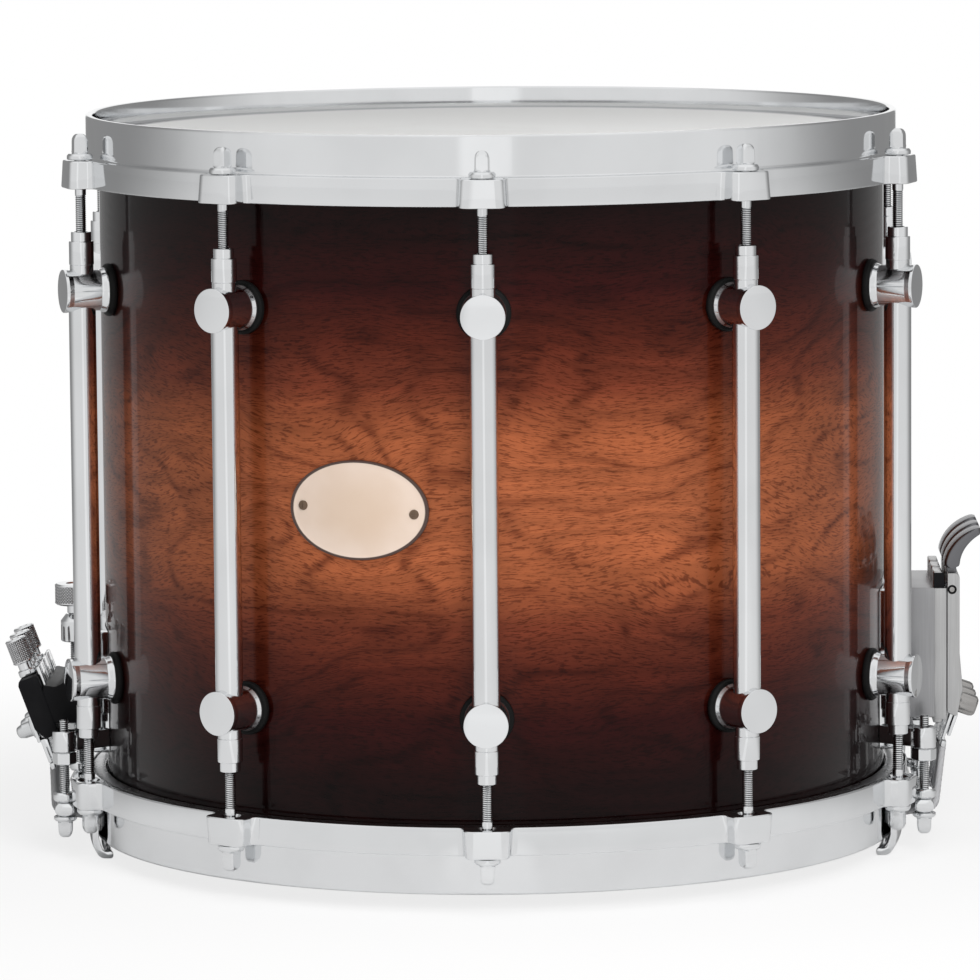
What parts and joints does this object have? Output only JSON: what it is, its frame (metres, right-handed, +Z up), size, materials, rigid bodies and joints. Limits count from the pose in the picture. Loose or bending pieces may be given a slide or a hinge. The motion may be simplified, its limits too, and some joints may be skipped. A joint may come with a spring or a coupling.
{
  "type": "concert snare drum",
  "caption": "Deep concert snare drum with tube lugs, lever strainer, screw-lifted butt and cable snares, all on real joints.",
  "frame": {"origin": "on the drum axis, level with the feet of the two snare guards that the drum rests on", "axes": "+Z up along the drum axis to the batter head, +X toward the strainer, -Y toward the front lug"},
  "size_m": [0.4411, 0.3972, 0.3327],
  "materials": {
    "walnut": "high-gloss walnut lacquer, fading to black at both ends",
    "chrome": "polished chrome plate",
    "batter_film": "rough white coating",
    "snare_film": "thin hazy film",
    "badge_plate": "cream enamel with a dark border",
    "black_cast": "black satin",
    "brushed_housing": "brushed",
    "satin_lever": "satin",
    "dark_paddle": "dark satin",
    "cables": "grey coated cable"
  },
  "bodies": {
    "drum": {"shell": "walnut", "batter_hoop": "chrome", "snare_hoop": "chrome", "batter_head": "batter_film", "snare_head": "snare_film", "lug_01": "chrome", "lug_02": "chrome", "lug_03": "chrome", "lug_04": "chrome", "lug_05": "chrome", "lug_06": "chrome", "lug_07": "chrome", "lug_08": "chrome", "lug_09": "chrome", "lug_10": "chrome", "badge": "badge_plate", "vent_grommet": "chrome", "strainer_bracket": "chrome", "strainer_housing": "brushed_housing", "butt_bracket": "chrome", "snare_set_1": "cables", "snare_set_2": "cables", "snare_set_3": "cables"},
    "batter_rod_01": {"batter_rod_01": "chrome"},
    "snare_rod_01": {"snare_rod_01": "chrome"},
    "batter_rod_02": {"batter_rod_02": "chrome"},
    "snare_rod_02": {"snare_rod_02": "chrome"},
    "batter_rod_03": {"batter_rod_03": "chrome"},
    "snare_rod_03": {"snare_rod_03": "chrome"},
    "batter_rod_04": {"batter_rod_04": "chrome"},
    "snare_rod_04": {"snare_rod_04": "chrome"},
    "batter_rod_05": {"batter_rod_05": "chrome"},
    "snare_rod_05": {"snare_rod_05": "chrome"},
    "batter_rod_06": {"batter_rod_06": "chrome"},
    "snare_rod_06": {"snare_rod_06": "chrome"},
    "batter_rod_07": {"batter_rod_07": "chrome"},
    "snare_rod_07": {"snare_rod_07": "chrome"},
    "batter_rod_08": {"batter_rod_08": "chrome"},
    "snare_rod_08": {"snare_rod_08": "chrome"},
    "batter_rod_09": {"batter_rod_09": "chrome"},
    "snare_rod_09": {"snare_rod_09": "chrome"},
    "batter_rod_10": {"batter_rod_10": "chrome"},
    "snare_rod_10": {"snare_rod_10": "chrome"},
    "strainer_slider_1": {"strainer_slider_1": "satin_lever"},
    "strainer_handle_1": {"strainer_handle_1": "dark_paddle"},
    "strainer_slider_2": {"strainer_slider_2": "satin_lever"},
    "strainer_handle_2": {"strainer_handle_2": "dark_paddle"},
    "strainer_slider_3": {"strainer_slider_3": "satin_lever"},
    "strainer_handle_3": {"strainer_handle_3": "dark_paddle"},
    "butt_carriage": {"butt_carriage": "black_cast"},
    "butt_height_knob": {"butt_height_knob": "chrome"},
    "butt_tension_knob_1": {"butt_tension_knob_1": "chrome"},
    "butt_tension_knob_2": {"butt_tension_knob_2": "chrome"},
    "butt_tension_knob_3": {"butt_tension_knob_3": "chrome"},
    "strainer_bridge": {"strainer_bridge": "chrome"},
    "strainer_bridge_rod_1": {"strainer_bridge_rod_1": "chrome"},
    "strainer_bridge_rod_2": {"strainer_bridge_rod_2": "chrome"},
    "butt_bridge": {"butt_bridge": "chrome"},
    "butt_bridge_rod_1": {"butt_bridge_rod_1": "chrome"},
    "butt_bridge_rod_2": {"butt_bridge_rod_2": "chrome"}
  },
  "joints": [
    {"name": "batter_rod_01_turn", "type": "hinge", "parent": "drum", "child": "batter_rod_01", "pos_m": [0, -0.1898, 0.3152], "axis": [0, 0, 1], "continuous": true},
    {"name": "snare_rod_01_turn", "type": "hinge", "parent": "drum", "child": "snare_rod_01", "pos_m": [0, -0.1898, 0.0248], "axis": [0, 0, -1], "continuous": true},
    {"name": "batter_rod_02_turn", "type": "hinge", "parent": "drum", "child": "batter_rod_02", "pos_m": [0.11156, -0.15355, 0.3152], "axis": [0, 0, 1], "continuous": true},
    {"name": "snare_rod_02_turn", "type": "hinge", "parent": "drum", "child": "snare_rod_02", "pos_m": [0.11156, -0.15355, 0.0248], "axis": [0, 0, -1], "continuous": true},
    {"name": "batter_rod_03_turn", "type": "hinge", "parent": "drum", "child": "batter_rod_03", "pos_m": [0.18051, -0.05865, 0.3152], "axis": [0, 0, 1], "continuous": true},
    {"name": "snare_rod_03_turn", "type": "hinge", "parent": "drum", "child": "snare_rod_03", "pos_m": [0.18051, -0.05865, 0.0248], "axis": [0, 0, -1], "continuous": true},
    {"name": "batter_rod_04_turn", "type": "hinge", "parent": "drum", "child": "batter_rod_04", "pos_m": [0.18051, 0.05865, 0.3152], "axis": [0, 0, 1], "continuous": true},
    {"name": "snare_rod_04_turn", "type": "hinge", "parent": "drum", "child": "snare_rod_04", "pos_m": [0.18051, 0.05865, 0.0248], "axis": [0, 0, -1], "continuous": true},
    {"name": "batter_rod_05_turn", "type": "hinge", "parent": "drum", "child": "batter_rod_05", "pos_m": [0.11156, 0.15355, 0.3152], "axis": [0, 0, 1], "continuous": true},
    {"name": "snare_rod_05_turn", "type": "hinge", "parent": "drum", "child": "snare_rod_05", "pos_m": [0.11156, 0.15355, 0.0248], "axis": [0, 0, -1], "continuous": true},
    {"name": "batter_rod_06_turn", "type": "hinge", "parent": "drum", "child": "batter_rod_06", "pos_m": [0, 0.1898, 0.3152], "axis": [0, 0, 1], "continuous": true},
    {"name": "snare_rod_06_turn", "type": "hinge", "parent": "drum", "child": "snare_rod_06", "pos_m": [0, 0.1898, 0.0248], "axis": [0, 0, -1], "continuous": true},
    {"name": "batter_rod_07_turn", "type": "hinge", "parent": "drum", "child": "batter_rod_07", "pos_m": [-0.11156, 0.15355, 0.3152], "axis": [0, 0, 1], "continuous": true},
    {"name": "snare_rod_07_turn", "type": "hinge", "parent": "drum", "child": "snare_rod_07", "pos_m": [-0.11156, 0.15355, 0.0248], "axis": [0, 0, -1], "continuous": true},
    {"name": "batter_rod_08_turn", "type": "hinge", "parent": "drum", "child": "batter_rod_08", "pos_m": [-0.18051, 0.05865, 0.3152], "axis": [0, 0, 1], "continuous": true},
    {"name": "snare_rod_08_turn", "type": "hinge", "parent": "drum", "child": "snare_rod_08", "pos_m": [-0.18051, 0.05865, 0.0248], "axis": [0, 0, -1], "continuous": true},
    {"name": "batter_rod_09_turn", "type": "hinge", "parent": "drum", "child": "batter_rod_09", "pos_m": [-0.18051, -0.05865, 0.3152], "axis": [0, 0, 1], "continuous": true},
    {"name": "snare_rod_09_turn", "type": "hinge", "parent": "drum", "child": "snare_rod_09", "pos_m": [-0.18051, -0.05865, 0.0248], "axis": [0, 0, -1], "continuous": true},
    {"name": "batter_rod_10_turn", "type": "hinge", "parent": "drum", "child": "batter_rod_10", "pos_m": [-0.11156, -0.15355, 0.3152], "axis": [0, 0, 1], "continuous": true},
    {"name": "snare_rod_10_turn", "type": "hinge", "parent": "drum", "child": "snare_rod_10", "pos_m": [-0.11156, -0.15355, 0.0248], "axis": [0, 0, -1], "continuous": true},
    {"name": "slider_1_drop", "type": "slide", "parent": "drum", "child": "strainer_slider_1", "axis": [0, 0, -1], "range_m": [0, 0.007], "deforming": ["snare_set_1"]},
    {"name": "lever_1_throw", "type": "hinge", "parent": "strainer_slider_1", "child": "strainer_handle_1", "pos_m": [0.2062, -0.02, 0.1172], "axis": [0, 1, 0], "range_deg": [0, 90]},
    {"name": "slider_2_drop", "type": "slide", "parent": "drum", "child": "strainer_slider_2", "axis": [0, 0, -1], "range_m": [0, 0.007], "deforming": ["snare_set_2"]},
    {"name": "lever_2_throw", "type": "hinge", "parent": "strainer_slider_2", "child": "strainer_handle_2", "pos_m": [0.2062, 0, 0.1172], "axis": [0, 1, 0], "range_deg": [0, 90]},
    {"name": "slider_3_drop", "type": "slide", "parent": "drum", "child": "strainer_slider_3", "axis": [0, 0, -1], "range_m": [0, 0.007], "deforming": ["snare_set_3"]},
    {"name": "lever_3_throw", "type": "hinge", "parent": "strainer_slider_3", "child": "strainer_handle_3", "pos_m": [0.2062, 0.02, 0.1172], "axis": [0, 1, 0], "range_deg": [0, 90]},
    {"name": "carriage_lift", "type": "slide", "parent": "drum", "child": "butt_carriage", "axis": [0, 0, 1], "range_m": [-0.001, 0.007]},
    {"name": "height_knob_turn", "type": "hinge", "parent": "drum", "child": "butt_height_knob", "pos_m": [-0.19, 0, 0.1045], "axis": [0, 0, 1], "range_deg": [-360, 2520]},
    {"name": "tension_knob_1_turn", "type": "hinge", "parent": "butt_carriage", "child": "butt_tension_knob_1", "pos_m": [-0.21068, -0.02, 0.07934], "axis": [-0.342, 0, 0.9397], "continuous": true},
    {"name": "tension_knob_2_turn", "type": "hinge", "parent": "butt_carriage", "child": "butt_tension_knob_2", "pos_m": [-0.21068, 0, 0.07934], "axis": [-0.342, 0, 0.9397], "continuous": true},
    {"name": "tension_knob_3_turn", "type": "hinge", "parent": "butt_carriage", "child": "butt_tension_knob_3", "pos_m": [-0.21068, 0.02, 0.07934], "axis": [-0.342, 0, 0.9397], "continuous": true},
    {"name": "strainer_bridge_rise", "type": "slide", "parent": "drum", "child": "strainer_bridge", "axis": [0, 0, 1], "range_m": [-0.0015, 0.0015]},
    {"name": "strainer_bridge_rod_1_turn", "type": "hinge", "parent": "strainer_bridge", "child": "strainer_bridge_rod_1", "pos_m": [0.193, -0.043, 0.02195], "axis": [0, 0, 1], "range_deg": [-675, 675]},
    {"name": "strainer_bridge_rod_2_turn", "type": "hinge", "parent": "strainer_bridge", "child": "strainer_bridge_rod_2", "pos_m": [0.193, 0.043, 0.02195], "axis": [0, 0, 1], "range_deg": [-675, 675]},
    {"name": "butt_bridge_rise", "type": "slide", "parent": "drum", "child": "butt_bridge", "axis": [0, 0, 1], "range_m": [-0.0015, 0.0015]},
    {"name": "butt_bridge_rod_1_turn", "type": "hinge", "parent": "butt_bridge", "child": "butt_bridge_rod_1", "pos_m": [-0.193, -0.043, 0.02195], "axis": [0, 0, 1], "range_deg": [-675, 675]},
    {"name": "butt_bridge_rod_2_turn", "type": "hinge", "parent": "butt_bridge", "child": "butt_bridge_rod_2", "pos_m": [-0.193, 0.043, 0.02195], "axis": [0, 0, 1], "range_deg": [-675, 675]}
  ],
  "couplings": [
    {"joint": "lever_1_throw", "follows": "slider_1_drop", "rad_per_m": 224.38},
    {"joint": "lever_2_throw", "follows": "slider_2_drop", "rad_per_m": 224.38},
    {"joint": "lever_3_throw", "follows": "slider_3_drop", "rad_per_m": 224.38},
    {"joint": "height_knob_turn", "follows": "carriage_lift", "rad_per_m": 6282.6},
    {"joint": "strainer_bridge_rod_1_turn", "follows": "strainer_bridge_rise", "rad_per_m": 7853.2},
    {"joint": "strainer_bridge_rod_2_turn", "follows": "strainer_bridge_rise", "rad_per_m": 7853.2},
    {"joint": "butt_bridge_rod_1_turn", "follows": "butt_bridge_rise", "rad_per_m": 7853.2},
    {"joint": "butt_bridge_rod_2_turn", "follows": "butt_bridge_rise", "rad_per_m": 7853.2}
  ]
}
